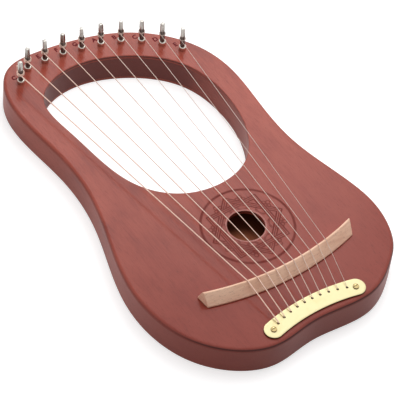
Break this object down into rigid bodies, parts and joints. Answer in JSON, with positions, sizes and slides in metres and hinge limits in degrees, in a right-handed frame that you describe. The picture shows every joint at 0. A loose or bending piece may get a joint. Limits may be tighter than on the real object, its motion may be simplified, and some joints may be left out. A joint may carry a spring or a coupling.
{
  "type": "lyre harp",
  "caption": "Flat-backed wooden lyre harp with an open string window, round sound hole, curved bridge, metal tailpiece and square-headed tuning pins, lying on its back.",
  "frame": {"origin": "middle of the outline's bounding box, on the flat back that the harp rests on", "axes": "+X to the treble side, +Y from the tail to the head, +Z out of the face that the strings run over"},
  "size_m": [0.2464, 0.4034, 0.0584],
  "materials": {
    "mahogany": "satin red-brown stain",
    "maple": "bare sanded wood",
    "spruce": "bare sawn wood",
    "gilt_plate": "polished gold plating",
    "brass": "polished",
    "nickel": "polished nickel plating",
    "bronze_wire": "drawn bronze wire"
  },
  "bodies": {
    "harp": {"soundboard": "mahogany", "body_frame": "mahogany", "back_board": "mahogany", "upper_bar": "spruce", "lower_bar": "spruce", "bridge": "maple", "tailpiece": "gilt_plate", "tailpiece_screw_bass": "brass", "tailpiece_screw_treble": "brass", "pin_collar_01": "nickel", "pin_collar_02": "nickel", "pin_collar_03": "nickel", "pin_collar_04": "nickel", "pin_collar_05": "nickel", "pin_collar_06": "nickel", "pin_collar_07": "nickel", "pin_collar_08": "nickel", "pin_collar_09": "nickel", "pin_collar_10": "nickel", "string_01": "bronze_wire", "string_02": "bronze_wire", "string_03": "bronze_wire", "string_04": "bronze_wire", "string_05": "bronze_wire", "string_06": "bronze_wire", "string_07": "bronze_wire", "string_08": "bronze_wire", "string_09": "bronze_wire", "string_10": "bronze_wire", "ball_end_01": "brass", "ball_end_02": "brass", "ball_end_03": "brass", "ball_end_04": "brass", "ball_end_05": "brass", "ball_end_06": "brass", "ball_end_07": "brass", "ball_end_08": "brass", "ball_end_09": "brass", "ball_end_10": "brass"},
    "pin_01": {"tuning_pin_01": "nickel", "string_winding_01": "bronze_wire"},
    "pin_02": {"tuning_pin_02": "nickel", "string_winding_02": "bronze_wire"},
    "pin_03": {"tuning_pin_03": "nickel", "string_winding_03": "bronze_wire"},
    "pin_04": {"tuning_pin_04": "nickel", "string_winding_04": "bronze_wire"},
    "pin_05": {"tuning_pin_05": "nickel", "string_winding_05": "bronze_wire"},
    "pin_06": {"tuning_pin_06": "nickel", "string_winding_06": "bronze_wire"},
    "pin_07": {"tuning_pin_07": "nickel", "string_winding_07": "bronze_wire"},
    "pin_08": {"tuning_pin_08": "nickel", "string_winding_08": "bronze_wire"},
    "pin_09": {"tuning_pin_09": "nickel", "string_winding_09": "bronze_wire"},
    "pin_10": {"tuning_pin_10": "nickel", "string_winding_10": "bronze_wire"}
  },
  "joints": [
    {"name": "pin_turn_01", "type": "hinge", "parent": "harp", "child": "pin_01", "pos_m": [-0.07363, 0.17366, 0.032], "axis": [0, 0.0785, 0.9969], "continuous": true},
    {"name": "pin_turn_02", "type": "hinge", "parent": "harp", "child": "pin_02", "pos_m": [-0.05876, 0.18502, 0.032], "axis": [0, 0.0785, 0.9969], "continuous": true},
    {"name": "pin_turn_03", "type": "hinge", "parent": "harp", "child": "pin_03", "pos_m": [-0.03936, 0.18555, 0.032], "axis": [0, 0.0785, 0.9969], "continuous": true},
    {"name": "pin_turn_04", "type": "hinge", "parent": "harp", "child": "pin_04", "pos_m": [-0.02004, 0.18401, 0.032], "axis": [0, 0.0785, 0.9969], "continuous": true},
    {"name": "pin_turn_05", "type": "hinge", "parent": "harp", "child": "pin_05", "pos_m": [-0.00083, 0.18113, 0.032], "axis": [0, 0.0785, 0.9969], "continuous": true},
    {"name": "pin_turn_06", "type": "hinge", "parent": "harp", "child": "pin_06", "pos_m": [0.01814, 0.17659, 0.032], "axis": [0, 0.0785, 0.9969], "continuous": true},
    {"name": "pin_turn_07", "type": "hinge", "parent": "harp", "child": "pin_07", "pos_m": [0.03657, 0.1697, 0.032], "axis": [0, 0.0785, 0.9969], "continuous": true},
    {"name": "pin_turn_08", "type": "hinge", "parent": "harp", "child": "pin_08", "pos_m": [0.05374, 0.15985, 0.032], "axis": [0, 0.0785, 0.9969], "continuous": true},
    {"name": "pin_turn_09", "type": "hinge", "parent": "harp", "child": "pin_09", "pos_m": [0.06903, 0.1471, 0.032], "axis": [0, 0.0785, 0.9969], "continuous": true},
    {"name": "pin_turn_10", "type": "hinge", "parent": "harp", "child": "pin_10", "pos_m": [0.08175, 0.13159, 0.032], "axis": [0, 0.0785, 0.9969], "continuous": true}
  ]
}
